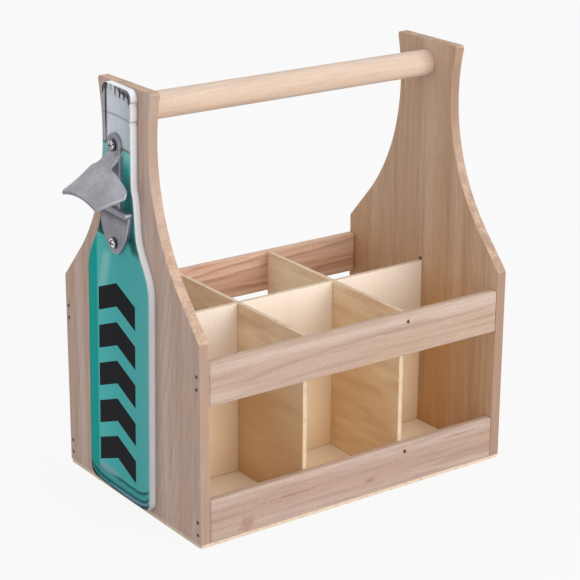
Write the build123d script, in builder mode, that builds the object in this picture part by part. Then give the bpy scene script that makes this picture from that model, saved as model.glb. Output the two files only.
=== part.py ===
from build123d import *
from math import cos, radians, sin, tan
import os

# A six-cell wooden bottle caddy: two end boards, four slats, a plywood base and egg-crate
# dividers, a dowel handle, and a bottle-shaped plaque with a wall bottle opener on one end.
# X runs along the handle with the plaque at -X, the front is -Y, and the base stands on Z = 0.

# Crate, outside sizes
crate_length = 280.0
crate_depth = 186.0
crate_height = 320.0

# Stock
end_board_thickness = 8.0
rail_thickness = 7.0
rail_height = 33.0
base_thickness = 2.5
divider_thickness = 3.5
dowel_diameter = 20.0

# End board outline: straight up to the shoulder, a slanted flank, then one long waisted arc
shoulder_height = 155.0
flank_run = 27.0
flank_rise = 30.0
waist_width = 62.0
waist_drop = 42.0
top_width = 72.0
board_corner_radius = 2.5
board_edge_radius = 0.6

# Slats between the end boards
upper_rail_top = 140.5
rail_edge_radius = 2.0
rail_foot_radius = 0.8

# Dividers: halving slots where they cross, grooves in the end boards for the long one
divider_top_gap = 0.5
divider_play = 0.15
divider_lift = 0.4
groove_depth = 3.0
groove_headroom = 3.0

# Dowel handle, in a blind socket in each end board
handle_drop = 18.5
socket_depth = 3.0
socket_play = 0.15
dowel_chamfer = 0.5

# Base sheet
base_corner_radius = 2.5

# Bottle-shaped plaque, hung from the upper opener screw and leaning a little out of plumb
plaque_thickness = 6.0
print_thickness = 0.2
print_margin = 0.3
plaque_top_gap = 0.5
plaque_bottom_gap = 6.0
plaque_offset = 1.0
plaque_lean = 1.6
body_width = 84.0
body_corner_radius = 8.0
bottom_sag = 1.2
neck_width = 37.6
cap_width = 38.8
cap_height = 9.0
cap_corner_radius = 6.0
lip_height = 15.5
lip_waist_width = 36.0
lip_bulge = 1.0
neck_length = 38.0
shoulder_fall = 86.0
shoulder_shares = ((0.10, 0.17), (0.43, 0.33), (0.70, 0.47), (0.78, 0.59), (0.92, 0.86))

# Bottle opener casting: drops are below its upper screw, rises above its lower one
opener_screw_drop = 42.0
opener_screw_spacing = 72.4
opener_plate_thickness = 3.0
ear_radius = 8.5
web_width = 16.0
shield_width = 40.0
shield_rise = 24.4
shield_fall = 10.6
shield_tip_radius = 10.0
rest_rise = 27.4
rest_height = 4.4
rest_width = 41.5
rest_reach = 5.5
rest_corner_radius = 2.0
hood_thickness = 3.0
hood_reach = 31.4
hood_width = 61.8
hood_front_width = 48.2
hood_side_gap = 8.0
hood_neck_reach = 10.0
hood_crest_drop = 2.8
hood_sag = 22.6
hood_front_crest_drop = 31.6
hood_front_sag = 4.0
hood_front_radius = 4.0
hood_side_radius = 3.0
hood_edge_radius = 0.5
cast_edge_radius = 0.8

# Screws: pan heads on the opener, countersunk heads through the ends into the dowel
opener_screw_head = 8.6
opener_screw_head_height = 2.7
opener_screw_rim_height = 1.0
opener_screw_shank = 4.0
opener_screw_length = 15.5
opener_screw_play = 0.3
handle_screw_head = 7.0
handle_screw_shank = 3.5
handle_screw_length = 30.0
countersink_angle = 90.0
recess_span_share = 0.56
recess_width_share = 0.13
recess_depth_share = 0.30

# Nails: small-headed brads driven just below the surface
nail_diameter = 1.4
nail_head_diameter = 1.9
nail_head_height = 0.6
nail_set = 0.9
rail_nail_length = 24.0
divider_nail_length = 18.0
base_nail_length = 12.0
nail_inset = 4.0
upper_nail_shares = (0.41, 0.70)
lower_nail_shares = (0.21, 0.51)
divider_nail_share = 0.80
base_nail_share = 0.5
fastener_play = 0.05

# Overrun of every cut past the surface it opens
overrun = 1.0

# Places worked out from the sizes above
half_length = crate_length / 2
half_depth = crate_depth / 2
inner_half_length = half_length - end_board_thickness
inner_half_depth = half_depth - rail_thickness
inner_length = 2 * inner_half_length
upper_rail_bottom = upper_rail_top - rail_height
divider_bottom = base_thickness + divider_lift
divider_top = upper_rail_top - divider_top_gap
cell_columns = 3
cell_length = (inner_length - (cell_columns - 1) * divider_thickness) / cell_columns
cross_divider_x = (cell_length + divider_thickness) / 2
slot_width = divider_thickness + 2 * divider_play
halving_height = (divider_bottom + divider_top) / 2
handle_z = crate_height - handle_drop
plaque_height = crate_height - plaque_top_gap - plaque_bottom_gap

os.makedirs("parts", exist_ok=True)


def save(piece, label):
    """Label a finished piece and write it under its own name."""
    piece.part.label = label
    export_step(piece.part, f"parts/{label}.step")


def outward_plane(side, y, z):
    """A plane on the outer face of the end board on this side, facing away from the crate."""
    return Plane(origin=(side * half_length, y, z), x_dir=(0, side, 0), z_dir=(side, 0, 0))


def side_view(plane):
    """The plane that shows a screw on this plane from the side, with Y along its axis."""
    return Plane(origin=plane.origin, x_dir=plane.x_dir, z_dir=-plane.y_dir)


# Plaque frame: local X towards the front, local Y up the bottle, local Z away from the board.
# Its origin is the upper opener screw, on the outer face of the left end board.
lean = radians(plaque_lean)
screw_z = crate_height - plaque_top_gap - opener_screw_drop
bottle_plane = Plane(
    origin=(-half_length, plaque_offset, screw_z),
    x_dir=(0, -cos(lean), -sin(lean)),
    z_dir=(-1, 0, 0),
)
print_plane = bottle_plane.offset(plaque_thickness)
opener_plane = print_plane.offset(print_thickness)
screw_plane = opener_plane.offset(opener_plate_thickness)
opener_screw_drops = {"upper": 0.0, "lower": opener_screw_spacing}
shield_drop = opener_screw_spacing - shield_rise
rest_drop = opener_screw_spacing - rest_rise
opener_screw_bite = (
    opener_screw_length - opener_plate_thickness - print_thickness - plaque_thickness
)


def opener_screw_places(plane):
    """The places of the two opener screws on a plane that is parallel to the plaque."""
    return [plane * Location((0, -drop, 0)) for drop in opener_screw_drops.values()]


# Nail places, each a plane on the surface that the nail is driven through
nail_y = half_depth - nail_inset
rail_nail_heights = {
    "upper": [upper_rail_bottom + share * rail_height for share in upper_nail_shares],
    "lower": [base_thickness + share * rail_height for share in lower_nail_shares],
}
rail_bottoms = {"upper": upper_rail_bottom, "lower": base_thickness}
rail_sides = {"front": -1, "back": 1}


def rail_nail_planes(side_name, level, ends=(-1, 1)):
    """Planes of the nails through the end boards into one slat."""
    y = rail_sides[side_name] * nail_y
    return [outward_plane(end, y, z) for end in ends for z in rail_nail_heights[level]]


def divider_nail_plane(side_name, level):
    """Plane of the nail through one slat into the right cross divider."""
    outward = rail_sides[side_name]
    z = rail_bottoms[level] + divider_nail_share * rail_height
    return Plane(
        origin=(cross_divider_x, outward * half_depth, z),
        x_dir=(-outward, 0, 0),
        z_dir=(0, outward, 0),
    )


def base_nail_plane(x, y):
    """Plane of a nail driven up through the base sheet."""
    return Plane(origin=(x, y, 0), x_dir=(1, 0, 0), z_dir=(0, 0, -1))


divider_nail_planes = [divider_nail_plane(s, l) for s in rail_sides for l in rail_bottoms]
end_nail_x = half_length - end_board_thickness / 2
rail_nail_x = base_nail_share * inner_half_length
end_nail_y = base_nail_share * half_depth
slat_nail_y = half_depth - rail_thickness / 2
base_nail_planes = [
    base_nail_plane(mirror_x * x, mirror_y * y)
    for x, y in ((end_nail_x, end_nail_y), (rail_nail_x, slat_nail_y))
    for mirror_x in (-1, 1)
    for mirror_y in (-1, 1)
]


def nail_holes(planes, length):
    """Cut the pilot and the set hole of a brad at each plane."""
    with Locations(*planes):
        CounterBoreHole(
            radius=nail_diameter / 2 + fastener_play,
            counter_bore_radius=nail_head_diameter / 2 + fastener_play,
            counter_bore_depth=nail_set + nail_head_height,
            depth=nail_set + length + fastener_play,
        )


def brads(planes, length):
    """A group of brads, each with a flat head just below its surface and a pointed tip."""
    downwards = (Align.CENTER, Align.CENTER, Align.MAX)
    with BuildPart() as group:
        with Locations(*[plane.offset(-nail_set) for plane in planes]):
            Cylinder(nail_head_diameter / 2, nail_head_height, align=downwards)
            Cylinder(nail_diameter / 2, length - nail_diameter, align=downwards)
        with Locations(*[plane.offset(nail_diameter - nail_set - length) for plane in planes]):
            Cone(nail_diameter / 8, nail_diameter / 2, nail_diameter, align=downwards)
    return group


# Base sheet
with BuildPart() as base_panel:
    with BuildSketch():
        RectangleRounded(crate_length, crate_depth, base_corner_radius)
    extrude(amount=base_thickness)
    nail_holes(base_nail_planes, base_nail_length)
save(base_panel, "base_panel")

# End boards
for name, side in (("end_board_left", -1), ("end_board_right", 1)):
    with BuildPart() as end_board:
        with BuildSketch(Plane.YZ.offset(side * half_length)):
            flank_top = (half_depth - flank_run, shoulder_height + flank_rise)
            waist = (waist_width / 2, crate_height - waist_drop)
            top_corner = (top_width / 2, crate_height)
            with BuildLine():
                Polyline(
                    (half_depth, base_thickness), (half_depth, shoulder_height), flank_top
                )
                ThreePointArc(flank_top, waist, top_corner)
                mirror(about=Plane.YZ)
                Line((-half_depth, base_thickness), (half_depth, base_thickness))
                Line((-top_width / 2, crate_height), top_corner)
            make_face()
            shoulders = vertices().filter_by(lambda v: abs(v.X) > half_depth - flank_run / 2)
            fillet(shoulders.group_by(Axis.Y)[-1], board_corner_radius)
            fillet(vertices().group_by(Axis.Y)[-1], board_corner_radius)
        extrude(amount=-side * end_board_thickness)
        faces_rim = edges().group_by(Axis.X)[0] + edges().group_by(Axis.X)[-1]
        fillet(faces_rim.filter_by(lambda e: e.center().Z > divider_bottom), board_edge_radius)

        # Groove for the long divider, up from the bottom edge
        with Locations((side * inner_half_length, 0, base_thickness)):
            Box(
                2 * groove_depth,
                slot_width,
                2 * (divider_top + groove_headroom - base_thickness),
                mode=Mode.SUBTRACT,
            )

        # Blind socket for the dowel, with the countersunk screw from outside
        with Locations(outward_plane(side, 0, handle_z).offset(-end_board_thickness)):
            Cylinder(
                dowel_diameter / 2 + socket_play, 2 * socket_depth, mode=Mode.SUBTRACT
            )
        with Locations(outward_plane(side, 0, handle_z)):
            CounterSinkHole(
                radius=handle_screw_shank / 2 + fastener_play,
                counter_sink_radius=handle_screw_head / 2 + fastener_play,
                counter_sink_angle=countersink_angle,
                depth=end_board_thickness + overrun,
            )

        for side_name in rail_sides:
            for level in rail_bottoms:
                nail_holes(rail_nail_planes(side_name, level, (side,)), rail_nail_length)
        nail_holes(base_nail_planes, base_nail_length)
        if side < 0:
            with Locations(*opener_screw_places(bottle_plane)):
                Hole(opener_screw_shank / 2 + fastener_play, opener_screw_bite + fastener_play)
    save(end_board, name)

# Slats, with rounded arrises and ends
for side_name, outward in rail_sides.items():
    for level, bottom in rail_bottoms.items():
        with BuildPart() as rail:
            with Locations((0, outward * (half_depth - rail_thickness / 2), bottom)):
                Box(
                    inner_length,
                    rail_thickness,
                    rail_height,
                    align=(Align.CENTER, Align.CENTER, Align.MIN),
                )
            fillet(edges().filter_by(Axis.Z) + edges().group_by(Axis.Z)[-1], rail_edge_radius)
            fillet(edges().group_by(Axis.Z)[0], rail_foot_radius)
            nail_holes(rail_nail_planes(side_name, level), rail_nail_length)
            nail_holes([divider_nail_plane(side_name, level)], divider_nail_length)
            nail_holes(base_nail_planes, base_nail_length)
        save(rail, f"{side_name}_{level}_rail")

        nails = brads(rail_nail_planes(side_name, level), rail_nail_length)
        save(nails, f"{side_name}_{level}_rail_nails")

# Long divider, in the grooves of the end boards and slotted from the top
web_height = divider_top - divider_bottom
with BuildPart() as long_divider:
    with Locations((0, 0, divider_bottom)):
        Box(
            inner_length + 2 * (groove_depth - divider_play),
            divider_thickness,
            web_height,
            align=(Align.CENTER, Align.CENTER, Align.MIN),
        )
    with Locations((-cross_divider_x, 0, divider_top), (cross_divider_x, 0, divider_top)):
        Box(
            slot_width,
            slot_width,
            2 * (divider_top - halving_height + divider_play),
            mode=Mode.SUBTRACT,
        )
save(long_divider, "long_divider")

# Cross dividers, slotted from below and held between the slats
for name, side in (("cross_divider_left", -1), ("cross_divider_right", 1)):
    with BuildPart() as cross_divider:
        with Locations((side * cross_divider_x, 0, divider_bottom)):
            Box(
                divider_thickness,
                2 * inner_half_depth,
                web_height,
                align=(Align.CENTER, Align.CENTER, Align.MIN),
            )
            Box(
                slot_width,
                slot_width,
                2 * (halving_height + divider_play - divider_bottom),
                mode=Mode.SUBTRACT,
            )
        nail_holes(divider_nail_planes, divider_nail_length)
    save(cross_divider, name)

# Dowel handle
dowel_half_length = inner_half_length + socket_depth - divider_play
with BuildPart() as handle_dowel:
    with BuildSketch(Plane.YZ.offset(-dowel_half_length)):
        with Locations((0, handle_z)):
            Circle(dowel_diameter / 2)
    extrude(amount=2 * dowel_half_length)
    chamfer(edges().filter_by(GeomType.CIRCLE), dowel_chamfer)
    with Locations(outward_plane(-1, 0, handle_z), outward_plane(1, 0, handle_z)):
        Hole(handle_screw_shank / 2 + fastener_play, handle_screw_length + fastener_play)
save(handle_dowel, "handle_dowel")


def cross_recess(head_diameter):
    """Outline of the cross recess in a screw head of this diameter."""
    span = recess_span_share * head_diameter
    width = recess_width_share * head_diameter
    with BuildSketch() as recess:
        Rectangle(span, width)
        Rectangle(width, span)
    return recess.sketch


# Handle screws, flush in the outer faces of the end boards
for name, side in (("handle_screw_left", -1), ("handle_screw_right", 1)):
    plane = outward_plane(side, 0, handle_z)
    head, shank = handle_screw_head / 2, handle_screw_shank / 2
    cone_height = (head - shank) / tan(radians(countersink_angle / 2))
    with BuildPart() as handle_screw:
        with BuildSketch(side_view(plane)):
            with BuildLine():
                Polyline(
                    (0, 0),
                    (head, 0),
                    (shank, -cone_height),
                    (shank, handle_screw_shank - handle_screw_length),
                    (0, -handle_screw_length),
                    close=True,
                )
            make_face()
        revolve(axis=Axis(plane.origin, plane.z_dir))
        with BuildSketch(plane):
            add(cross_recess(handle_screw_head))
        extrude(amount=-recess_depth_share * handle_screw_head, mode=Mode.SUBTRACT)
    save(handle_screw, name)

# Bottle-shaped plaque
plaque_top = opener_screw_drop
plaque_bottom = plaque_top - plaque_height
cap_foot = plaque_top - cap_height
lip_foot = cap_foot - lip_height
neck_foot = lip_foot - neck_length
body_top = neck_foot - shoulder_fall


def bottle_face(margin):
    """The bottle's outline, drawn in by a margin: half of it from the bottom up, mirrored."""
    body, neck, cap = (width / 2 - margin for width in (body_width, neck_width, cap_width))
    waist = lip_waist_width / 2 - margin
    bottom, top = plaque_bottom + margin, plaque_top - margin
    shoulder_curve = [
        (body - share * (body - neck), body_top + rise_share * (neck_foot - body_top))
        for share, rise_share in shoulder_shares
    ]
    with BuildSketch() as outline:
        with BuildLine():
            Line((body, bottom + bottom_sag), (body, body_top))
            Spline((body, body_top), *shoulder_curve, (neck, neck_foot), tangents=((0, 1), (0, 1)))
            Polyline((neck, neck_foot), (neck, lip_foot), (waist, lip_foot))
            lip_middle = (waist + lip_bulge, (lip_foot + cap_foot) / 2)
            ThreePointArc((waist, lip_foot), lip_middle, (waist, cap_foot))
            Polyline((waist, cap_foot), (cap, cap_foot), (cap, top))
            mirror(about=Plane.YZ)
            Line((-cap, top), (cap, top))
            ThreePointArc((-body, bottom + bottom_sag), (0, bottom), (body, bottom + bottom_sag))
        make_face()
        fillet(vertices().group_by(Axis.Y)[0], body_corner_radius - margin)
        fillet(vertices().group_by(Axis.Y)[-1], cap_corner_radius - margin)
    return outline.sketch


with BuildPart() as bottle_plaque:
    with BuildSketch(bottle_plane):
        add(bottle_face(0))
    extrude(amount=plaque_thickness)
    with Locations(*opener_screw_places(print_plane)):
        Hole(opener_screw_shank / 2 + fastener_play, plaque_thickness + overrun)
save(bottle_plaque, "bottle_plaque")

# Printed face, just short of the plaque's edge
with BuildPart() as plaque_print:
    with BuildSketch(print_plane):
        add(bottle_face(print_margin))
    extrude(amount=print_thickness)
    with Locations(*opener_screw_places(opener_plane)):
        Hole(opener_screw_shank / 2 + fastener_play, print_thickness + overrun)
save(plaque_print, "plaque_print")


def hood_section(reach):
    """The hood's domed band at this distance from the plaque, wider than its plan."""
    share = reach / hood_reach
    crest = -hood_crest_drop - share * (hood_front_crest_drop - hood_crest_drop)
    sag = hood_sag + share * (hood_front_sag - hood_sag)
    taper = (hood_width - hood_front_width) / (hood_reach - hood_side_gap)
    half_width = (hood_width - taper * (reach - hood_side_gap)) / 2
    edge = half_width + overrun
    foot = crest - sag * (edge / half_width) ** 2
    skin = [(-edge, foot), (0, 2 * crest - foot), (edge, foot)]
    underside = [(x, y - hood_thickness) for x, y in skin]
    with BuildSketch(opener_plane.offset(reach)) as section:
        with BuildLine():
            Bezier(*skin)
            Bezier(*underside)
            Line(skin[0], underside[0])
            Line(skin[-1], underside[-1])
        make_face()
    return section.sketch


# Hood of the opener: a domed band that falls away from the plate, trimmed to its plan
hood_plan = Plane(
    origin=opener_plane.origin, x_dir=opener_plane.z_dir, z_dir=opener_plane.y_dir
)
with BuildPart() as hood:
    loft([hood_section(-overrun), hood_section(hood_reach + overrun)])
    with BuildSketch(hood_plan):
        with BuildLine():
            Polyline(
                (0, ear_radius),
                (hood_neck_reach, ear_radius),
                (hood_side_gap, hood_width / 2),
                (hood_reach, hood_front_width / 2),
            )
            mirror(about=Plane.XZ)
            Line((0, -ear_radius), (0, ear_radius))
            Line((hood_reach, -hood_front_width / 2), (hood_reach, hood_front_width / 2))
        make_face()
        corners = vertices().group_by(Axis.X)
        fillet(corners[1] + corners[2], hood_side_radius)
        fillet(vertices().group_by(Axis.X)[-1], hood_front_radius)
    extrude(amount=opener_screw_spacing, both=True, mode=Mode.INTERSECT)
    skins = faces().sort_by(SortBy.AREA)[-2:]
    rims = skins[0].edges() + skins[1].edges()
    fillet(rims.filter_by(lambda e: e.center().X < screw_plane.origin.X), hood_edge_radius)

# The casting: ear, web and shield in one plate, the cap rest and the hood
with BuildPart() as bottle_opener:
    with BuildSketch(opener_plane):
        Circle(ear_radius)
        with Locations((0, -shield_drop / 2)):
            Rectangle(web_width, shield_drop)
        shield_corner = (shield_width / 2, -shield_drop)
        shield_tip = (0, -opener_screw_spacing - shield_fall)
        with BuildSketch(mode=Mode.PRIVATE) as shield:
            with BuildLine():
                TangentArc(shield_corner, shield_tip, tangent=(0, -1))
                mirror(about=Plane.YZ)
                Line((-shield_width / 2, -shield_drop), shield_corner)
            make_face()
            fillet(vertices().sort_by(Axis.Y)[0], shield_tip_radius)
        add(shield.sketch)
    extrude(amount=opener_plate_thickness)
    fillet(edges().group_by(Axis.X)[0], cast_edge_radius)
    with BuildSketch(opener_plane):
        with Locations((0, -rest_drop - rest_height / 2)):
            RectangleRounded(rest_width, rest_height, rest_corner_radius)
    extrude(amount=rest_reach)
    fillet(edges().group_by(Axis.X)[0], cast_edge_radius)
    add(hood.part)
    with Locations(*opener_screw_places(screw_plane)):
        Hole(opener_screw_shank / 2 + opener_screw_play, opener_plate_thickness + overrun)
save(bottle_opener, "bottle_opener")

# Opener screws, with domed heads on the casting
for name, drop in opener_screw_drops.items():
    plane = Plane(screw_plane * Location((0, -drop, 0)))
    head, shank = opener_screw_head / 2, opener_screw_shank / 2
    with BuildPart() as opener_screw:
        with BuildSketch(side_view(plane)):
            with BuildLine():
                TangentArc(
                    (0, opener_screw_head_height), (head, opener_screw_rim_height), tangent=(1, 0)
                )
                Polyline(
                    (head, opener_screw_rim_height),
                    (head, 0),
                    (shank, 0),
                    (shank, opener_screw_shank - opener_screw_length),
                    (0, -opener_screw_length),
                    (0, opener_screw_head_height),
                )
            make_face()
        revolve(axis=Axis(plane.origin, plane.z_dir))
        with BuildSketch(plane.offset(opener_screw_head_height)):
            add(cross_recess(opener_screw_head))
        extrude(amount=-recess_depth_share * opener_screw_head, mode=Mode.SUBTRACT)
    save(opener_screw, f"opener_screw_{name}")

# Nails into the right cross divider, and through the base sheet
save(brads(divider_nail_planes, divider_nail_length), "divider_nails")
save(brads(base_nail_planes, base_nail_length), "base_nails")
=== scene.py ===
from collections import namedtuple
from math import cos, pi, radians, sin

import bpy
from mathutils import Matrix, Vector


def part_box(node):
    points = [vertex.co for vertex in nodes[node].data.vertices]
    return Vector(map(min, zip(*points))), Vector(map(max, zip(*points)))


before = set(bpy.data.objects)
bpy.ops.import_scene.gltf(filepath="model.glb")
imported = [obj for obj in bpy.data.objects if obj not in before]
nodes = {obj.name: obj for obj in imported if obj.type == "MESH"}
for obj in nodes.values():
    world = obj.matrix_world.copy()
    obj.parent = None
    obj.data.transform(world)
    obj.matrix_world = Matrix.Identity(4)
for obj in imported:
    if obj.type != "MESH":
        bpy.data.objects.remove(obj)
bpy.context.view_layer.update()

# The caddy as it looks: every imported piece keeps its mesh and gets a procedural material.
# Everything is in metres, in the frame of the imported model: X along the handle, with the
# plaque at -X, the front at -Y, and the base on Z = 0.
MM = 0.001
X, Y, Z = 0, 1, 2
AXES = ((1, 0, 0), (0, 1, 0), (0, 0, 1))

# Camera, matched to the photograph
camera_place = (-0.80706, -1.12504, 0.62595)
camera_azimuth = -35.768
camera_elevation = 19.311
camera_roll = 0.35
camera_lens = 119.19

# Lamps: a soft low key from the front, and an even world
key_place = (0.62, -2.15, 0.80)
key_aim = (0.0, 0.0, 0.12)
key_size = 1.6
key_power = 30.0
world_strength = 0.78

# Floor
floor_radius = 6.0
floor_tone, floor_tone_spread = 0.55, 0.02
floor_cloud_size = 0.4
floor_roughness = 0.9
floor_share_seen_white = 0.90

# Bottle artwork, in millimetres: u towards the front, v up, and out from the end board, all
# from the plaque's origin, which lies behind the upper opener screw and is in metres
lean = radians(1.6)
plaque_origin = (-0.140, 0.001, 0.2775)
plaque_out = (-1.0, 0.0, 0.0)
plaque_u = (0.0, -cos(lean), -sin(lean))
plaque_v = (0.0, -sin(lean), cos(lean))
neck_half_width, body_half_width = 18.0, 42.0
seal_v = -1.0
foil_seams = ((21.0, 0.45), (35.0, 0.15))  # height, and how strongly it shows
foil_bow = 0.9
print_top_v, print_bottom_v = 41.7, -271.2
foot_curve_up, top_curve_down = 7.0, 5.0
motif_middle_u, motif_half_width = -2.0, 25.5
motif_top, motif_bottom = -92.0, -243.0
motif_pitch, motif_bar_share, motif_slope = 30.2, 0.60, 0.42
flute_pitch, flute_middle = 5.9, -1.1
foil_reflection_u, foil_reflection_width = -13.6, 2.4

# Opener: its crown is the middle of a highlight painted on the hood, and the rest of its numbers
# are in millimetres. Distances out are from its back, and the height is from the lower screw.
crown_place = (-0.170, -0.001, 0.234)
crown_radius = 20.0
between_plate_and_rest = (3.6, 4.4)
rest_underside = 23.0
screw_head_height, screw_dome_fall = 2.7, 0.092
screw_rim = (3.2, 3.7)
turning_pitch = 0.22

# Brads in one node stand further apart than this
brad_gap = 3 * MM

# The colours of a solid wood: its ground from pale to warm, its dark grain, its cut edges, its
# uncut edges, and its rubbed corners
Tones = namedtuple("Tones", "pale warm dark rim side worn")

# Streaks along the grain: their width and length, the noise's detail and roughness, and the
# levels of the noise where they start and are full
Layer = namedtuple("Layer", "across along detail roughness start full")
wood_layers = {
    "tone": Layer(13 * MM, 420 * MM, 3.0, 0.5, 0.38, 0.62),
    "patch": Layer(40 * MM, 130 * MM, 2.0, 0.5, 0.42, 0.72),
    "broad": Layer(3.0 * MM, 110 * MM, 3.0, 0.6, 0.44, 0.76),
    "fibre": Layer(0.9 * MM, 26 * MM, 4.0, 0.6, 0.36, 0.68),
    "pores": Layer(0.45 * MM, 5 * MM, 2.0, 0.5, 0.58, 0.70),
    "fleck": Layer(0.7 * MM, 1.4 * MM, 3.0, 0.6, 0.40, 0.75),
}
wood_shares = {"broad": 0.34, "fibre": 0.12, "fleck": 0.14, "pores": 0.26}
veneer_layers = {
    "cloud": Layer(13 * MM, 70 * MM, 3.0, 0.55, 0.40, 0.72),
    "shade": Layer(45 * MM, 90 * MM, 1.0, 0.5, 0.35, 0.70),
    "fine": Layer(1.5 * MM, 26 * MM, 4.0, 0.6, 0.42, 0.74),
    "flecks": Layer(0.5 * MM, 4 * MM, 2.0, 0.5, 0.60, 0.72),
}
core_layers = {"fibre": Layer(0.5 * MM, 4 * MM, 3.0, 0.5, 0.35, 0.70)}


def rgb(red, green, blue):
    """A colour given by its 8-bit screen values, as Blender's linear RGBA."""

    def linear(value):
        share = value / 255
        return share / 12.92 if share <= 0.04045 else ((share + 0.055) / 1.055) ** 2.4

    return (linear(red), linear(green), linear(blue), 1.0)


def grey(level):
    """A neutral colour of this linear level."""
    return (level, level, level, 1.0)


class Field:
    """A number at each point of a surface. Arithmetic on it adds nodes to the material."""

    def __init__(self, surface, socket):
        self.surface = surface
        self.socket = socket

    def math(self, operation, *others):
        """The result of a Math node with this as its first input."""
        return self.surface.math(operation, self, *others)

    def __add__(self, other):
        return self.math("ADD", other)

    def __sub__(self, other):
        return self.math("SUBTRACT", other)

    def __rsub__(self, other):
        return self.surface.math("SUBTRACT", other, self)

    def __mul__(self, other):
        return self.math("MULTIPLY", other)

    def __truediv__(self, other):
        return self.math("DIVIDE", other)

    def __pow__(self, other):
        return self.math("POWER", other)

    def __abs__(self):
        return self.math("ABSOLUTE")

    __radd__, __rmul__ = __add__, __mul__

    def step(self, low, high):
        """A smooth step, from 0 where this is low to 1 where it is high."""
        made = self.surface.node(
            "MapRange",
            {"Value": self, "From Min": low, "From Max": high},
            interpolation_type="SMOOTHSTEP",
        )
        return Field(self.surface, made.outputs["Result"])

    def line(self, middle, width):
        """A soft line of this width, where this is about the middle value."""
        return abs(self - middle).step(0.75 * width, 0.25 * width)


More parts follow.
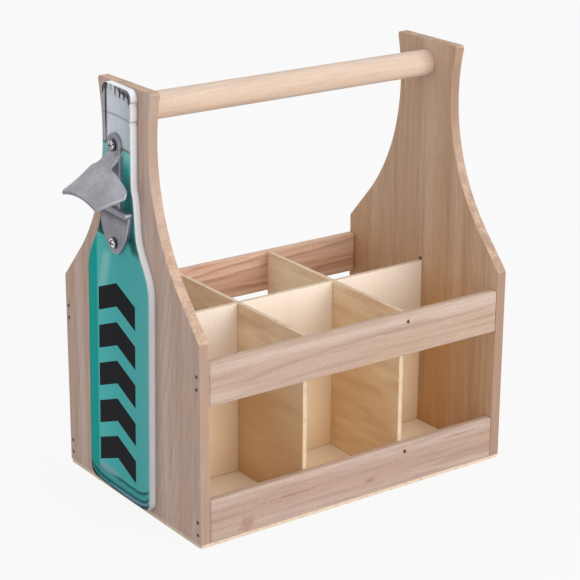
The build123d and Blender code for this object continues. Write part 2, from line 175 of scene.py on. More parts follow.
class Surface:
    """A procedural material in the making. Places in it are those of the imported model."""

    def __init__(self, name):
        self.material = bpy.data.materials.new(name)
        self.material.use_nodes = True
        self.tree = self.material.node_tree
        self.shader = self.tree.nodes["Principled BSDF"]
        coordinates = self.node("TexCoord")
        self.place = coordinates.outputs["Object"]
        self.normal = coordinates.outputs["Normal"]

    def feed(self, socket, value):
        """Link a socket to a field or another socket, or set its value."""
        if isinstance(value, Field):
            value = value.socket
        if isinstance(value, bpy.types.NodeSocket):
            self.tree.links.new(value, socket)
        else:
            socket.default_value = value

    def node(self, kind, inputs=None, **settings):
        """A shader node with these settings and inputs."""
        made = self.tree.nodes.new("ShaderNode" + kind)
        for key, value in settings.items():
            setattr(made, key, value)
        for key, value in (inputs or {}).items():
            self.feed(made.inputs[key], value)
        return made

    def math(self, operation, *values):
        """The result of a Math node."""
        made = self.node("Math", dict(enumerate(values)), operation=operation)
        return Field(self, made.outputs[0])

    def vector(self, operation, *values):
        """The result of a Vector Math node."""
        made = self.node("VectorMath", dict(enumerate(values)), operation=operation)
        if operation in ("DOT_PRODUCT", "LENGTH"):
            return Field(self, made.outputs["Value"])
        return made.outputs["Vector"]

    def along(self, direction, origin=(0.0, 0.0, 0.0)):
        """How far each point is from an origin along a direction, in millimetres."""
        offset = self.vector("SUBTRACT", self.place, origin)
        return self.vector("DOT_PRODUCT", offset, [part / MM for part in direction])

    def away(self, place, sizes):
        """Distance from a place, in these sizes along X, Y and Z. None leaves an axis out."""
        scales = [0.0 if size is None else 1 / size for size in sizes]
        offset = self.vector("SUBTRACT", self.place, place)
        return self.vector("LENGTH", self.vector("MULTIPLY", offset, scales))

    def facing(self, axis):
        """How far the surface faces along an axis, either way, from 0 to 1."""
        return abs(self.vector("DOT_PRODUCT", self.normal, AXES[axis]))

    def mix(self, share, first, second):
        """Two colours mixed by a share of the second."""
        made = self.node("Mix", data_type="RGBA")
        for index, value in ((0, share), (6, first), (7, second)):
            self.feed(made.inputs[index], value)
        return made.outputs[2]

    def ramp(self, share, stops):
        """A colour ramp, from a list of positions and colours."""
        made = self.node("ValToRGB", {"Fac": share})
        elements = made.color_ramp.elements
        while len(elements) < len(stops):
            elements.new(1.0)
        for element, (position, colour) in zip(elements, stops):
            element.position = position
            element.color = colour
        return made.outputs["Color"]

    def noise(self, sizes, seed, detail=2.0, roughness=0.5):
        """Noise of about 0 to 1, whose features have these sizes along X, Y and Z."""
        scale = tuple(1 / size for size in sizes)
        place = self.vector("MULTIPLY_ADD", self.place, scale, (seed, 3.7 * seed, 7.3 * seed))
        made = self.node(
            "TexNoise",
            {"Vector": place, "Scale": 1.0, "Detail": detail, "Roughness": roughness},
        )
        return Field(self, made.outputs["Fac"])

    def streaks(self, grain, across, along, seed, detail=2.0, roughness=0.5):
        """Noise drawn out along the grain."""
        sizes = [across, across, across]
        sizes[grain] = along
        return self.noise(sizes, seed, detail, roughness)

    def layers(self, grain, table, seed):
        """The layers of a table, each from 0 to 1, seeded one after the other."""
        made = {}
        for number, (name, layer) in enumerate(table.items()):
            noise = self.streaks(
                grain, layer.across, layer.along, seed + number, layer.detail, layer.roughness
            )
            made[name] = noise.step(layer.start, layer.full)
        return made

    def speckle(self, size, seed, detail=2.0, roughness=0.5):
        """Noise of one size in all directions."""
        return self.noise((size,) * 3, seed, detail, roughness)

    def line_noise(self, value, size, seed):
        """Noise along a value alone, whose features have this size."""
        made = self.node(
            "TexNoise",
            {"W": value / size + seed, "Scale": 1.0, "Detail": 1.0},
            noise_dimensions="1D",
        )
        return Field(self, made.outputs["Fac"])

    def corner(self, radius):
        """How sharply the surface turns within a radius: from 0 to about 0.3 on an edge."""
        soft = self.node("Bevel", {"Radius": radius}, samples=5).outputs["Normal"]
        sharp = self.node("NewGeometry").outputs["Normal"]
        return 1.0 - self.vector("DOT_PRODUCT", soft, sharp)

    def worn_edges(self, radius, seed):
        """Where corners are rubbed: 1 along them, and ragged off within the radius."""
        ragged = self.speckle(3 * MM, seed, 3.0) * 0.16
        return (self.corner(radius) + ragged - 0.08).step(0.03, 0.20)

    def bump(self, height, depth, strength):
        """Bump the surface by a height from 0 to 1, which is this deep."""
        made = self.node("Bump", {"Height": height, "Distance": depth, "Strength": strength})
        self.feed(self.shader.inputs["Normal"], made.outputs["Normal"])

    def finish(self, colour, roughness, **others):
        """Set the shader's colour, roughness and any other inputs."""
        self.feed(self.shader.inputs["Base Color"], colour)
        self.feed(self.shader.inputs["Roughness"], roughness)
        for name, value in others.items():
            self.feed(self.shader.inputs[name.replace("_", " ")], value)
        return self.material


brown_mark = rgb(158, 108, 82)
nail_stain = rgb(128, 88, 66)
nail_hole_painted_shade = rgb(34, 24, 20)


def solid_wood(name, grain, thin, pith, tilt, seed, tones, ring_width=7 * MM, ring_share=0.34,
               holes=(), hole_axis=X, marks=(), warm_painted_shade=None):
    """Sanded soft hardwood: growth rings round a leaning pith line, streaks, fibres and pores,
    speckled end grain on the cut edges, rubbed corners, stains about the nail holes, and painted
    shade in the holes. Marks are brown spots, each with a middle and its half sizes along X and
    Z.
    A warm painted shade is a colour, its share, and for each axis that limits it where it starts
    and is full; it paints warmer, darker shade where the limits meet."""
    surface = Surface(name)
    pale, warm, dark, rim, side, worn = tones

    # Growth rings
    across = [1.0, 1.0, 1.0]
    across[grain] = 0.0
    lean_by = [part * MM for part in tilt]
    pith_here = surface.vector("MULTIPLY_ADD", surface.along(AXES[grain]), lean_by, pith)
    offset = surface.vector("SUBTRACT", surface.place, pith_here)
    radius = surface.vector("LENGTH", surface.vector("MULTIPLY", offset, across))
    radius = radius + surface.streaks(grain, 45 * MM, 260 * MM, seed, 1.5) * (3.2 * ring_width)
    radius = radius + surface.streaks(grain, 8 * MM, 80 * MM, seed + 1) * (0.9 * ring_width)
    crowded = radius + surface.line_noise(radius, 24 * MM, seed) * (3.0 * ring_width)
    late_wood = Field(surface, surface.ramp(
        (crowded / ring_width).math("FRACT"),
        [(0.0, grey(0.5)), (0.12, grey(0.05)), (0.60, grey(0.25)), (0.93, grey(1.0))],
    ))
    late_wood = late_wood * surface.streaks(grain, 12 * MM, 240 * MM, seed + 2).step(0.32, 0.68)

    # Ground, with streaks along the grain
    layers = surface.layers(grain, wood_layers, seed + 3)
    colour = surface.mix(layers["tone"], pale, warm)
    # Painted shade: warmer and darker where the limits meet, for shade and bounced light low down
    if warm_painted_shade:
        shade_colour, shade_share, reaches = warm_painted_shade
        for axis, start, full in reaches:
            shade_share = surface.along(AXES[axis]).step(start, full) * shade_share
        colour = surface.mix(shade_share, colour, shade_colour)
    colour = surface.mix(layers["patch"] * 0.40, colour, rim)
    colour = surface.mix(late_wood * ring_share, colour, dark)
    for layer_name, share in wood_shares.items():
        colour = surface.mix(layers[layer_name] * share, colour, dark)
    fibre = layers["fibre"]

    # Edges: cut across the grain, or along it
    edge = surface.facing(thin).step(0.80, 0.35)
    cut = surface.facing(grain).step(0.06, 0.50)
    dot_sizes = [1.1 * MM] * 3
    dot_sizes[thin] = 3.5 * MM
    dots = surface.noise(dot_sizes, seed + 9, 3.0, 0.6).step(0.42, 0.66)
    blotch = surface.speckle(9 * MM, seed + 10, 4.0, 0.65).step(0.38, 0.62)
    cut_colour = surface.mix(blotch * 0.65, rim, side)
    cut_colour = surface.mix(dots * 0.50, cut_colour, dark)
    colour = surface.mix(edge * (1.0 - cut) * 0.8, colour, surface.mix(fibre * 0.4, side, dark))
    colour = surface.mix(edge * cut * 0.9, colour, cut_colour)

    rubbed = surface.worn_edges(1.1 * MM, seed + 11)
    colour = surface.mix(rubbed * 0.5, colour, worn)

    # Marks, and nail holes painted dark as shade, with a stain round them
    for middle, half_length, half_height in marks:
        ragged = surface.away(middle, (half_length, None, half_height))
        ragged = ragged + surface.speckle(3 * MM, seed + 12, 3.0) * 1.6
        colour = surface.mix(ragged.step(2.0, 0.9) * 0.6, colour, brown_mark)
    if holes:
        sizes = [MM, MM, MM]
        sizes[hole_axis] = None
        nearest = surface.away(holes[0], sizes)
        for hole in holes[1:]:
            nearest = nearest.math("MINIMUM", surface.away(hole, sizes))
        nearest = nearest + surface.speckle(1.5 * MM, seed + 13) * 1.2
        colour = surface.mix(nearest.step(3.2, 1.7) * 0.55, colour, nail_stain)
        # Painted shade: nearly black in and just round the holes
        colour = surface.mix(nearest.step(1.9, 1.5) * 0.9, colour, nail_hole_painted_shade)

    height = fibre * -0.5 + late_wood * -0.4 + layers["pores"] * -0.7
    height = height + dots * cut * edge * -0.6
    surface.bump(height, 0.10 * MM, 0.8)
    roughness = 0.58 + fibre * 0.16 - rubbed * 0.10
    return surface.finish(colour, roughness, Specular_IOR_Level=0.35)


glue_line = rgb(150, 112, 84)
sheet_edge = rgb(218, 196, 172)
sheet_grime = rgb(170, 138, 114)
sheet_rubbed = rgb(196, 160, 126)


def plywood(name, node_name, thin, grain, seed, face, streak, core, cloud_share, warm_painted_shade):
    """Three-ply sheet: fine-grained veneer faces, plies at its edges, and rubbed corners.
    The node's box gives where its middle and its skins are along the thin axis. Low down, the
    face turns to a warm painted shade, for the shade deep in the cells."""
    surface = Surface(name)
    low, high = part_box(node_name)
    middle, half = (low[thin] + high[thin]) / 2, (high[thin] - low[thin]) / 2
    depth = abs(surface.along(AXES[thin]) - middle / MM) / (half / MM)
    cross_grain = next(i for i in (X, Y, Z) if i not in (thin, grain))

    # Face veneer
    layers = surface.layers(grain, veneer_layers, seed)
    fine, flecks = layers["fine"], layers["flecks"]
    # Painted shade: low down the face turns warmer and darker, as the shade deep in the cells
    shade_low_down = surface.along(AXES[Z]).step(130.0, 60.0) * 0.85
    colour = surface.mix(shade_low_down, face, warm_painted_shade)
    colour = surface.mix(layers["shade"] * (0.6 * cloud_share), colour, streak)
    colour = surface.mix(layers["cloud"] * cloud_share, colour, streak)
    colour = surface.mix(fine * 0.22, colour, streak)
    colour = surface.mix(flecks * 0.22, colour, core)

    # Edges: the core ply between its glue lines, then dirt
    core_fibre = surface.layers(cross_grain, core_layers, seed + 4)["fibre"]
    core_colour = surface.mix(core_fibre, core, face)
    colour = surface.mix(depth.step(0.52, 0.42) * 0.7, colour, core_colour)
    colour = surface.mix(depth.line(0.47, 0.13) * 0.30, colour, glue_line)
    on_edge = surface.facing(thin).step(0.8, 0.4)
    grime = surface.speckle(5 * MM, seed + 5, 3.0, 0.6).step(0.45, 0.75)
    colour = surface.mix(on_edge * 0.6, colour, sheet_edge)
    colour = surface.mix(on_edge * grime * 0.45, colour, sheet_grime)
    rubbed = surface.worn_edges(0.6 * MM, seed + 6)
    colour = surface.mix(rubbed * 0.25, colour, sheet_rubbed)
    surface.bump(fine * -0.7 + flecks * -0.5, 0.05 * MM, 0.7)
    return surface.finish(colour, 0.52 + fine * 0.14, Specular_IOR_Level=0.35)


paint, dusty_paint = rgb(252, 253, 255), rgb(243, 246, 255)
paint_scuff = rgb(196, 200, 214)
bled_ink = rgb(150, 210, 208)
cap_step_painted_shade = rgb(120, 122, 132)
joint_painted_shadow = rgb(138, 128, 124)
paint_rubbed = rgb(176, 180, 194)


def white_paint(name, seed):
    """Satin white paint on board, with painted shade lines at the steps of the cap, ink bled over
    the body's edge, a painted shadow line along the joint behind it, a little orange peel, and
    greyed corners."""
    surface = Surface(name)
    v = surface.along(plaque_v, plaque_origin)
    out = surface.along(plaque_out, plaque_origin)
    peel = surface.speckle(1.4 * MM, seed)
    dust = surface.speckle(22 * MM, seed + 1, 3.0).step(0.35, 0.75)
    scuff = surface.streaks(Z, 1.2 * MM, 14 * MM, seed + 2, 3.0).step(0.58, 0.72)
    colour = surface.mix(dust, paint, dusty_paint)
    colour = surface.mix(scuff * 0.18, colour, paint_scuff)
    bled = out.step(3.0, 9.0) * v.step(-66.0, -100.0)
    colour = surface.mix(bled * 0.8, colour, bled_ink)
    # Painted shade: thin grey lines at the steps of the cap
    for ring_v, _ in foil_seams:
        colour = surface.mix(v.line(ring_v - 1.0, 1.1) * 0.55, colour, cap_step_painted_shade)
    # Painted shadow: a dark line along the back of the edge, at the joint with the end board
    colour = surface.mix(out.step(1.8, 0.4) * 0.7, colour, joint_painted_shadow)
    rubbed = surface.worn_edges(0.9 * MM, seed + 3)
    colour = surface.mix(rubbed * 0.16, colour, paint_rubbed)
    surface.bump(peel, 0.04 * MM, 0.6)
    return surface.finish(colour, 0.34 + dust * 0.12)


# Inks of the print: glass from its back edge to its front edge, and foil likewise
glass_stops = [
    (0.0, rgb(0, 130, 124)), (0.03, rgb(0, 174, 165)), (0.135, rgb(0, 168, 161)),
    (0.17, rgb(92, 202, 198)), (0.30, rgb(84, 196, 192)), (0.50, rgb(78, 188, 186)),
    (0.80, rgb(84, 184, 184)), (0.97, rgb(90, 184, 186)), (1.0, rgb(80, 174, 178)),
]
glass_highlight, glass_under_seal = rgb(170, 220, 216), rgb(166, 222, 222)
neck_shade, neck_foot_shade, shoulder_shade = rgb(14, 98, 98), rgb(22, 62, 54), rgb(0, 78, 78)
foot_spot, foot_shade, foot_edge = rgb(148, 184, 204), rgb(34, 138, 138), rgb(26, 32, 54)
motif_black, motif_black_worn = rgb(6, 4, 9), rgb(15, 11, 18)
foil_stops = [
    (0.0, rgb(168, 164, 182)), (0.07, rgb(204, 204, 216)), (0.12, rgb(168, 170, 188)),
    (0.20, rgb(242, 243, 249)), (0.50, rgb(230, 235, 242)), (0.8, rgb(214, 222, 231)),
    (1.0, rgb(192, 200, 212)),
]
foil_crinkle, foil_reflection, foil_seam = rgb(190, 208, 218), rgb(44, 43, 64), rgb(88, 92, 104)
flute_shade, hem_shade, crown_shade = rgb(50, 44, 58), rgb(62, 50, 62), rgb(66, 62, 76)
seal_brown, print_film = rgb(112, 96, 78), rgb(30, 60, 64)
glass_margin, foil_margin = rgb(178, 222, 222), rgb(246, 247, 252)


def glass_print(name, seed):
    """Glossy print of a teal bottle with a foil neck and a column of black chevrons."""
    surface = Surface(name)
    u = surface.along(plaque_u, plaque_origin)
    v = surface.along(plaque_v, plaque_origin)
    side = u / neck_half_width
    ink = surface.speckle(2.2 * MM, seed, 3.0)

    # Glass: a deep band at the back, greyer towards the front, and a soft slanted highlight
    glass = surface.ramp((u + body_half_width) / (2 * body_half_width), glass_stops)
    shine = abs(u + 18.0 - (v + 96.0) * 0.25).step(8.0, 2.0)
    shine = shine * v.step(-80.0, -88.0) * v.step(-132.0, -96.0)
    glass = surface.mix(shine * 0.55, glass, glass_highlight)

    # Neck: pale under the seal, dark on both sides down to the shoulder, darkest at its foot
    glass = surface.mix(v.step(-16.0, -4.0) * 0.6, glass, glass_under_seal)
    neck_side = abs(side).step(0.25, 0.85) * v.step(-10.0, -34.0) * v.step(-72.0, -66.0)
    glass = surface.mix(neck_side * 0.8, glass, neck_shade)
    back_foot = u.step(-9.0, -13.0) * v.step(-44.0, -50.0) * v.step(-73.0, -71.5)
    glass = surface.mix(back_foot * 0.85, glass, neck_foot_shade)
    front_shoulder = (u - 0.5 * (-66.0 - v)).step(12.0, 17.0) * v.step(-79.0, -72.0)
    glass = surface.mix(front_shoulder * v.step(-58.0, -66.0) * 0.85, glass, shoulder_shade)

    # Foot of the glass: a navy edge, and dark and pale refractions over it
    rise = v - print_bottom_v - (abs(u) / body_half_width) ** 6.0 * foot_curve_up
    rise = rise + surface.noise((6 * MM, 9 * MM, 9 * MM), seed + 1, 1.0) * 1.6 - 0.8
    pale_spot = rise.step(9.0, 11.5) * rise.step(18.0, 14.0)
    pale_spot = pale_spot * u.step(-30.0, -26.0) * u.step(2.0, -8.0)
    glass = surface.mix(pale_spot * 0.85, glass, foot_spot)
    glass = surface.mix(rise.step(13.5, 9.0) * 0.6, glass, foot_shade)
    for height, width, share, line_colour in (
        (11.6, 2.2, u.step(-14.0, 2.0) * 0.85, rgb(0, 82, 84)),
        (8.2, 1.8, 0.5, rgb(92, 186, 184)),
        (4.6, 2.6, 0.85, rgb(6, 84, 90)),
        (2.8, 2.0, u.step(-22.0, 6.0) * 0.9, rgb(128, 164, 190)),
    ):
        glass = surface.mix(rise.line(height, width) * share, glass, line_colour)
    glass = surface.mix(rise.step(1.9, 1.1), glass, foot_edge)

    # Motif: upward chevrons, one over the other
    arm = abs(u - motif_middle_u)
    level = v + arm * motif_slope
    bar = ((level - motif_bottom) / motif_pitch).math("FRACT")
    inside = bar.math("LESS_THAN", motif_bar_share) * arm.math("LESS_THAN", motif_half_width)
    inside = inside * level.math("LESS_THAN", motif_top)
    inside = inside * level.math("GREATER_THAN", motif_bottom)
    body = surface.mix(inside, glass, surface.mix(ink, motif_black, motif_black_worn))

    # Foil neck: flutes under the top edge, ring seams, and a dark reflection near the back
    foil = surface.ramp(side * 0.5 + 0.5, foil_stops)
    crinkle = surface.noise((5 * MM, 3 * MM, 12 * MM), seed + 2, 3.0, 0.6).step(0.35, 0.70)
    foil = surface.mix(crinkle * 0.30, foil, foil_crinkle)
    wavering = u + surface.speckle(9 * MM, seed + 3, 1.0) * 1.2
    dark_line = wavering.line(foil_reflection_u, foil_reflection_width)
    foil = surface.mix(dark_line * (0.5 + v.step(4.0, 18.0) * 0.45), foil, foil_reflection)
    bow = side ** 2.0 * foil_bow
    for seam_v, seam_share in foil_seams:
        foil = surface.mix((v + bow).line(seam_v, 1.5) * seam_share, foil, foil_seam)
    drop = print_top_v - v - abs(side) ** 6.0 * top_curve_down
    phase = (u - flute_middle) * (2 * pi / flute_pitch)
    stroke = phase.math("COSINE").step(0.05, 0.65)
    reach = 2.6 + u.step(-8.0, 6.0) * 2.4 + surface.speckle(2.4 * MM, seed + 4) * 3.0
    stroke = stroke * (drop - reach).step(2.2, -0.8) * (0.45 + u.step(-9.0, 3.0) * 0.5)
    foil = surface.mix(stroke, foil, flute_shade)
    hem = (drop - u.step(-2.0, 8.0) * 3.0).step(2.0, 0.6) * u.step(-5.0, 4.0)
    foil = surface.mix(hem * 0.85, foil, hem_shade)
    foil = surface.mix(drop.step(4.4, 1.6) * u.step(-9.0, -14.0) * 0.85, foil, crown_shade)

    # Foil over glass, with a brown seal line between them, and a pale margin at the front
    seal = v + bow
    colour = surface.mix(seal.step(seal_v - 0.6, seal_v + 0.6), body, foil)
    colour = surface.mix(seal.line(seal_v, 2.0) * 0.7, colour, seal_brown)
    colour = surface.mix(ink * 0.10, colour, print_film)
    margin = surface.corner(2.8 * MM).step(0.015, 0.05) * u.step(-6.0, 8.0)
    above_seal = seal.step(seal_v - 4.0, seal_v)
    margin_colour = surface.mix(above_seal, glass_margin, foil_margin)
    colour = surface.mix(margin * 0.8, colour, margin_colour)
    surface.bump(ink, 0.02 * MM, 0.5)
    return surface.finish(colour, 0.22 + ink * 0.14, Specular_IOR_Level=0.03)


casting, casting_pale = rgb(156, 156, 162), rgb(176, 176, 183)
casting_mottle = rgb(138, 137, 146)
crown_painted_highlight = rgb(222, 222, 228)
plate_painted_shade = rgb(112, 111, 120)
plate_painted_shadow = rgb(44, 44, 50)
casting_worn_and_highlit = rgb(240, 240, 244)


def cast_metal(name, plate_back, lower_screw, seed):
    """Tumbled zinc casting: fine bluish grey grain, painted shade on the plate behind the hood
    and a painted shadow under its cap rest, a painted highlight on its crown, and bright rims
    that are partly wear and partly painted highlight."""
    surface = Surface(name)
    cloud = surface.speckle(14 * MM, seed).step(0.34, 0.68)
    mottle = surface.speckle(1.7 * MM, seed + 1, 4.0, 0.65).step(0.36, 0.68)
    grain = surface.speckle(0.5 * MM, seed + 2, 3.0, 0.65)
    colour = surface.mix(cloud, casting, casting_pale)
    colour = surface.mix(mottle * 0.40, colour, casting_mottle)
    # Painted highlight: the hood is lighter about its crown
    crown = surface.away(crown_place, (crown_radius * MM,) * 3) + cloud * 0.2
    colour = surface.mix(crown.step(1.0, 0.1) * 0.65, colour, crown_painted_highlight)
    # Painted shade: the plate's faces are darker than the hood
    plate = surface.facing(X).step(0.86, 0.97)
    colour = surface.mix(plate * 0.5, colour, plate_painted_shade)
    # Painted shadow: a dark band on the plate just under the cap rest
    near_face, far_face = between_plate_and_rest
    behind_rest = surface.along(plaque_out, plate_back).step(far_face, near_face)
    drop = rest_underside - surface.along(AXES[Z], lower_screw)
    painted_shade = behind_rest * drop.step(9.0, 0.0) * drop.step(-1.0, -0.4)
    colour = surface.mix(plate * painted_shade * 0.75, colour, plate_painted_shadow)
    # Rims: lighter as wear, and brighter still as a painted highlight
    rubbed = surface.worn_edges(1.0 * MM, seed + 3)
    colour = surface.mix(rubbed * 0.7, colour, casting_worn_and_highlit)
    surface.bump(grain * 0.5 + mottle * 0.4, 0.12 * MM, 0.8)
    return surface.finish(colour, 0.42 + mottle * 0.12 - rubbed * 0.12, Metallic=0.9)


screw_smudge = rgb(120, 118, 122)
screw_painted_reflection = rgb(54, 52, 58)
screw_rim_shade = rgb(70, 68, 74)
recess_painted_shade = rgb(20, 18, 20)


def screw_metal(name, axis_place, head_out, dome, base, seed):
    """Polished screw: bright, turned rings on its head, dark patches towards its rim as a painted
    reflection, a painted shaded ring at its rim, and painted shade down in the cross recess. The
    dome is its height and its fall per square millimetre."""
    surface = Surface(name)
    out = surface.along((head_out, 0.0, 0.0), axis_place)
    radius = surface.away(axis_place, (None, MM, MM))
    dome_height, dome_fall = dome
    depth = dome_height - radius ** 2.0 * dome_fall - out
    smudge = surface.speckle(1.1 * MM, seed, 3.0).step(0.42, 0.70)
    # Painted reflection: dark patches towards the rim, for what the polished head reflects
    painted_reflection = surface.speckle(1.7 * MM, seed + 1, 1.0).step(0.50, 0.58)
    turning = (radius * (2 * pi / turning_pitch)).math("SINE")
    # Painted shade down in the cross recess
    painted_shade = depth.step(0.10, 0.5)
    colour = surface.mix(smudge * 0.30, base, screw_smudge)
    colour = surface.mix(painted_reflection * radius.step(1.2, 2.2) * 0.85, colour, screw_painted_reflection)
    # Painted shade: a darker ring at the rim of the head
    colour = surface.mix(radius.step(*screw_rim) * 0.75, colour, screw_rim_shade)
    colour = surface.mix(painted_shade, colour, recess_painted_shade)
    surface.bump(turning * 0.1 + smudge, 0.02 * MM, 0.4)
    roughness = 0.14 + smudge * 0.12 + painted_shade * 0.3
    return surface.finish(colour, roughness, Metallic=1.0)


def nail_metal(name, seed):
    """Dull dark steel brads, darker still as painted shade down in their holes."""
    surface = Surface(name)
    stain = surface.speckle(0.7 * MM, seed, 3.0).step(0.35, 0.65)
    colour = surface.mix(stain, rgb(58, 44, 38), rgb(30, 24, 22))
    surface.bump(stain, 0.03 * MM, 0.6)
    return surface.finish(colour, 0.5 + stain * 0.2, Metallic=0.3)


def dress(node_name, material):
    """Give a CAD node its material."""
    mesh = nodes[node_name].data
    mesh.materials.clear()
    mesh.materials.append(None)
    nodes[node_name].material_slots[0].link = "OBJECT"
    nodes[node_name].material_slots[0].material = material


def shank_places(node_name, axis):
    """Where the separate brads of a node stand, as places with no part along their axis."""
    shanks = []
    for vertex in nodes[node_name].data.vertices:
        place = vertex.co.copy()
        place[axis] = 0.0
        for shank in shanks:
            if (shank[0] - place).length < brad_gap:
                shank.append(place)
                break
        else:
            shanks.append([place])
    return [tuple(sum(shank, Vector()) / len(shank)) for shank in shanks]


def seen_rays(tree):
    """A socket that is 1 for the rays that the camera sees, directly, in a gloss or through
    something clear, and 0 for the rays that light the object."""
    paths = tree.nodes.new("ShaderNodeLightPath")
    seen = paths.outputs["Is Camera Ray"]
    for ray in ("Is Glossy Ray", "Is Transmission Ray"):
        either = tree.nodes.new("ShaderNodeMath")
        either.operation = "MAXIMUM"
        tree.links.new(seen, either.inputs[0])
        tree.links.new(paths.outputs[ray], either.inputs[1])
        seen = either.outputs[0]
    return seen


# Woods
left_tones = Tones(
    pale=rgb(216, 192, 182), warm=rgb(203, 174, 157), dark=rgb(160, 129, 112),
    rim=rgb(220, 186, 158), side=rgb(174, 144, 127), worn=rgb(226, 204, 190),
)
right_tones = Tones(
    pale=rgb(219, 191, 169), warm=rgb(208, 173, 143), dark=rgb(161, 124, 96),
    rim=rgb(202, 173, 151), side=rgb(156, 122, 105), worn=rgb(212, 188, 172),
)
upper_tones = Tones(
    pale=rgb(208, 187, 172), warm=rgb(196, 168, 150), dark=rgb(136, 102, 84),
    rim=rgb(206, 176, 148), side=rgb(206, 181, 162), worn=rgb(220, 200, 184),
)
# The lower front rail: the upper rail's wood, darkened as painted shade
lower_shaded_tones = Tones(
    pale=rgb(201, 178, 164), warm=rgb(189, 160, 143), dark=rgb(131, 97, 80),
    rim=rgb(200, 166, 140), side=rgb(202, 175, 157), worn=rgb(214, 193, 178),
)
back_tones = Tones(
    pale=rgb(240, 206, 181), warm=rgb(226, 180, 151), dark=rgb(142, 90, 65),
    rim=rgb(226, 197, 176), side=rgb(228, 199, 178), worn=rgb(236, 212, 194),
)
dowel_tones = Tones(
    pale=rgb(229, 211, 195), warm=rgb(222, 196, 174), dark=rgb(188, 152, 124),
    rim=rgb(220, 194, 174), side=rgb(226, 204, 186), worn=rgb(230, 214, 202),
)

# End boards, grain upright
rail_brads = [
    place for side in ("front", "back") for level in ("upper", "lower")
    for place in shank_places(f"{side}_{level}_rail_nails", X)
]
divider_brads = shank_places("divider_nails", Y)
dress("end_board_left", solid_wood(
    "end_board_left_wood", grain=Z, thin=X, pith=(-0.105, 0.150, 0.0), tilt=(0.05, -0.22, 0.0),
    seed=1.0, tones=left_tones, holes=rail_brads,
))
# Painted shade: the right board's inner face turns warmer and darker low down
right_inner_painted_shade = (
    rgb(204, 157, 100), 0.75, ((Z, 190.0, 90.0), (X, 138.0, 133.0), (Y, -115.0, -25.0)),
)
dress("end_board_right", solid_wood(
    "end_board_right_wood", grain=Z, thin=X, pith=(0.185, -0.130, 0.0), tilt=(-0.03, 0.12, 0.0),
    seed=21.0, tones=right_tones, ring_share=0.24, holes=rail_brads, warm_painted_shade=right_inner_painted_shade,
))

# Slats, grain along the crate
front_marks = [
    ((0.012, 0.0, 0.0135), 6.0 * MM, 2.6 * MM), ((-0.101, 0.0, 0.009), 8.0 * MM, 6.0 * MM),
    ((-0.060, 0.0, 0.0215), 34.0 * MM, 1.1 * MM), ((0.095, 0.0, 0.030), 20.0 * MM, 1.0 * MM),
]
slats = (
    ("front_upper_rail", -0.128, 0.150, 0.06, 41.0, upper_tones, 0.34, ()),
    ("front_lower_rail", -0.128, -0.020, -0.05, 47.0, lower_shaded_tones, 0.34, front_marks),
    ("back_upper_rail", 0.128, 0.100, 0.10, 53.0, back_tones, 0.55, ()),
    ("back_lower_rail", 0.128, 0.060, -0.08, 59.0, back_tones, 0.55, ()),
)
for slat_name, pith_y, pith_z, rise, seed, tones, ring_share, marks in slats:
    dress(slat_name, solid_wood(
        slat_name + "_wood", grain=X, thin=Y, pith=(0.0, pith_y, pith_z),
        tilt=(0.0, 0.02, rise), seed=seed, tones=tones, ring_width=5 * MM,
        ring_share=ring_share, holes=divider_brads, hole_axis=Y, marks=marks,
    ))

# Handle
dress("handle_dowel", solid_wood(
    "handle_dowel_wood", grain=X, thin=Y, pith=(0.0, 0.024, 0.330), tilt=(0.0, 0.03, 0.04),
    seed=67.0, tones=dowel_tones, ring_width=3.4 * MM, ring_share=0.24,
))

# Plywood
divider_core = rgb(222, 190, 156)
# Low down, the dividers' faces are painted warmer and darker as shade, the left cross divider's
# most
dress("long_divider", plywood(
    "long_divider_plywood", "long_divider", thin=Y, grain=Z, seed=71.0,
    face=rgb(255, 243, 228), streak=rgb(250, 226, 198), core=divider_core, cloud_share=0.28,
    warm_painted_shade=rgb(255, 230, 191),
))
cross_dividers = (
    ("cross_divider_left", 73.0, rgb(220, 183, 133)),
    ("cross_divider_right", 79.0, rgb(238, 210, 166)),
)
for divider_name, seed, warm_painted_shade in cross_dividers:
    dress(divider_name, plywood(
        divider_name + "_plywood", divider_name, thin=X, grain=Y, seed=seed,
        face=rgb(255, 238, 208), streak=rgb(210, 168, 122), core=divider_core,
        cloud_share=0.6, warm_painted_shade=warm_painted_shade,
    ))
base_face = rgb(255, 242, 222)
dress("base_panel", plywood(
    "base_plywood", "base_panel", thin=Z, grain=X, seed=83.0,
    face=base_face, streak=rgb(244, 218, 186), core=rgb(216, 190, 172), cloud_share=0.5,
    warm_painted_shade=base_face,
))

# Plaque and its print
dress("bottle_plaque", white_paint("plaque_white", seed=91.0))
dress("plaque_print", glass_print("plaque_print_ink", seed=93.0))

# Opener and its screws, each placed on its axis where its head starts
screw_places = {}
for level in ("upper", "lower"):
    low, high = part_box(f"opener_screw_{level}")
    screw_places[level] = (
        low[X] + screw_head_height * MM, (low[Y] + high[Y]) / 2, (low[Z] + high[Z]) / 2
    )
for level, seed in (("upper", 103.0), ("lower", 107.0)):
    dress(f"opener_screw_{level}", screw_metal(
        f"opener_screw_{level}_chrome", screw_places[level], head_out=-1,
        dome=(screw_head_height, screw_dome_fall), base=rgb(226, 226, 230), seed=seed,
    ))
plate_back = (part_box("bottle_opener")[1][X], 0.0, 0.0)
dress("bottle_opener", cast_metal("opener_cast", plate_back, screw_places["lower"], seed=101.0))

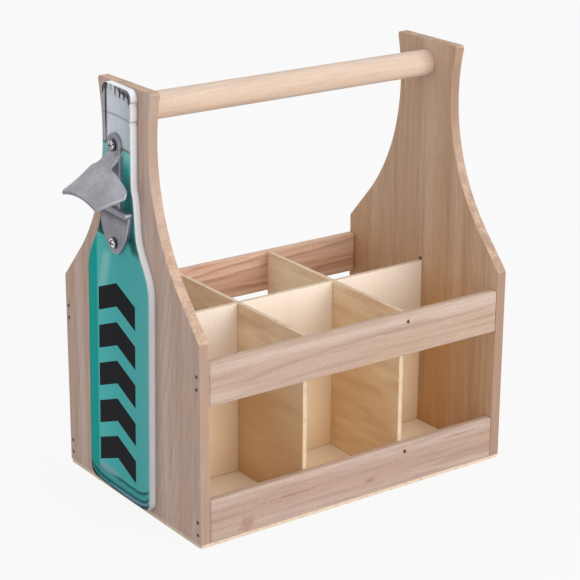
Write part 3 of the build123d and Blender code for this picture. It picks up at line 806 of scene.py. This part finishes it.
# Countersunk screws of the handle, each placed on its axis at its flat head's face
for side_name, outward, seed in (("left", -1, 109.0), ("right", 1, 113.0)):
    low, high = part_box(f"handle_screw_{side_name}")
    outer = low[X] if outward < 0 else high[X]
    place = (outer, (low[Y] + high[Y]) / 2, (low[Z] + high[Z]) / 2)
    dress(f"handle_screw_{side_name}", screw_metal(
        f"handle_screw_{side_name}_zinc", place, head_out=outward, dome=(0.0, 0.0),
        base=rgb(206, 200, 178), seed=seed,
    ))

# Nails
nails = nail_metal("nail_steel_dull", seed=127.0)
for node_name in nodes:
    if node_name.endswith("nails"):
        dress(node_name, nails)

# Floor
bpy.ops.mesh.primitive_circle_add(vertices=96, radius=floor_radius, fill_type="NGON")
floor = bpy.context.object
floor.name = "floor"
floor_surface = Surface("floor_paper")
cloud = floor_surface.speckle(floor_cloud_size, seed=131.0, detail=3.0)
paper = floor_surface.mix(cloud, grey(floor_tone), grey(floor_tone + floor_tone_spread))
floor_surface.finish(paper, floor_roughness)
white = floor_surface.node("Emission", {"Color": grey(1.0), "Strength": 1.0})
seen_white = floor_surface.math("MULTIPLY", seen_rays(floor_surface.tree), floor_share_seen_white)
blend = floor_surface.node("MixShader", {
    0: seen_white,
    1: floor_surface.shader.outputs["BSDF"],
    2: white.outputs["Emission"],
})
floor_surface.tree.links.new(
    blend.outputs["Shader"], floor_surface.tree.nodes["Material Output"].inputs["Surface"]
)
floor.data.materials.append(floor_surface.material)

# World: white where it is seen, and an even light elsewhere
world = bpy.data.worlds.new("studio")
bpy.context.scene.world = world
world.use_nodes = True
tree = world.node_tree
background = tree.nodes["Background"]
background.inputs["Color"].default_value = grey(1.0)
strength = tree.nodes.new("ShaderNodeMapRange")
tree.links.new(seen_rays(tree), strength.inputs["Value"])
strength.inputs["To Min"].default_value = world_strength
strength.inputs["To Max"].default_value = 1.0
tree.links.new(strength.outputs["Result"], background.inputs["Strength"])

# Key lamp
lamp = bpy.data.objects.new("key", bpy.data.lights.new("key", "AREA"))
lamp.data.shape = "DISK"
lamp.data.size = key_size
lamp.data.energy = key_power
lamp.location = key_place
lamp.rotation_euler = (Vector(key_aim) - Vector(key_place)).to_track_quat("-Z", "Y").to_euler()
bpy.context.scene.collection.objects.link(lamp)

# Camera
camera = bpy.data.objects.new("camera", bpy.data.cameras.new("camera"))
camera.data.lens = camera_lens
camera.matrix_world = (
    Matrix.Translation(camera_place)
    @ Matrix.Rotation(radians(camera_azimuth), 4, "Z")
    @ Matrix.Rotation(pi / 2 - radians(camera_elevation), 4, "X")
    @ Matrix.Rotation(radians(camera_roll), 4, "Z")
)
bpy.context.scene.collection.objects.link(camera)
bpy.context.scene.camera = camera
bpy.context.scene.view_settings.view_transform = "Standard"
